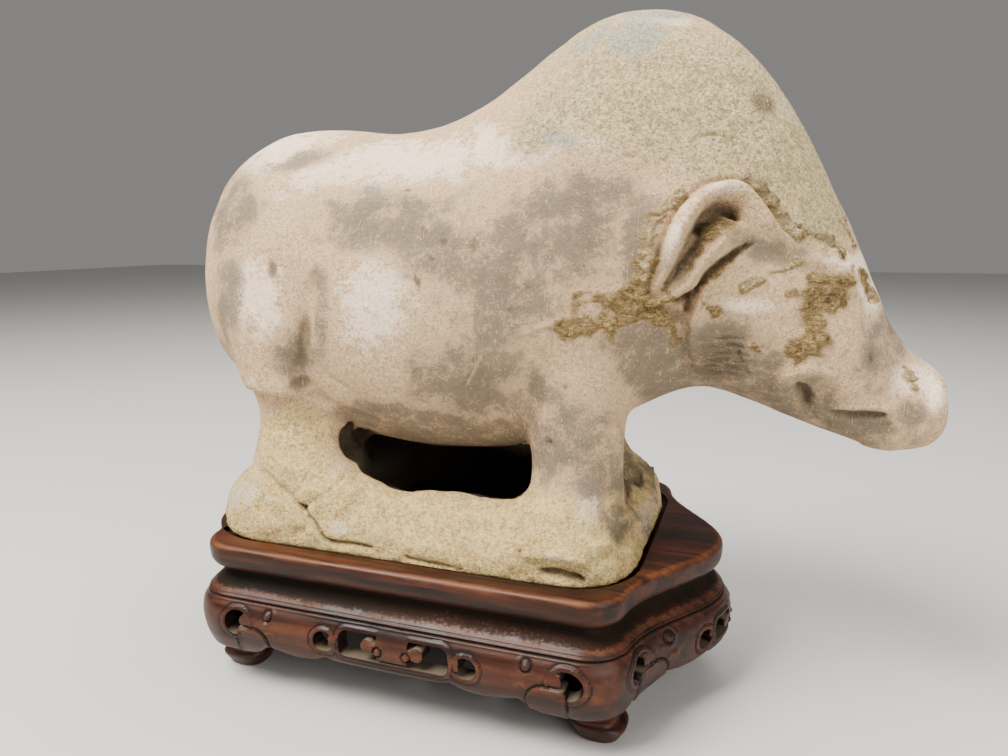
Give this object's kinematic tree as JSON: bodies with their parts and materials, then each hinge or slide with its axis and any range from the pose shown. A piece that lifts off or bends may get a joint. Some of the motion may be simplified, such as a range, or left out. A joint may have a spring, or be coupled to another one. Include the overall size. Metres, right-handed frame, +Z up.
{
  "type": "pottery pig figure on carved stand",
  "caption": "Hollow earthenware boar standing on its own rough clay base, set in the recess of a low dark hardwood stand with a lobed board and a pierced scroll apron.",
  "frame": {"origin": "on the surface that the stand's feet rest on, under the middle of the whole object's box", "axes": "+X along the figure towards the snout, +Y towards the figure's left side, +Z up"},
  "size_m": [0.257, 0.1268, 0.2195],
  "materials": {
    "pottery": "unglazed pinkish buff earthenware with grey staining, ochre earth and fine scratches, matt",
    "hardwood": "dark red-brown carved hardwood, waxed, with dust in the hollows"
  },
  "bodies": {
    "root": {"pottery_pig": "pottery", "wooden_stand": "hardwood"}
  },
  "joints": []
}
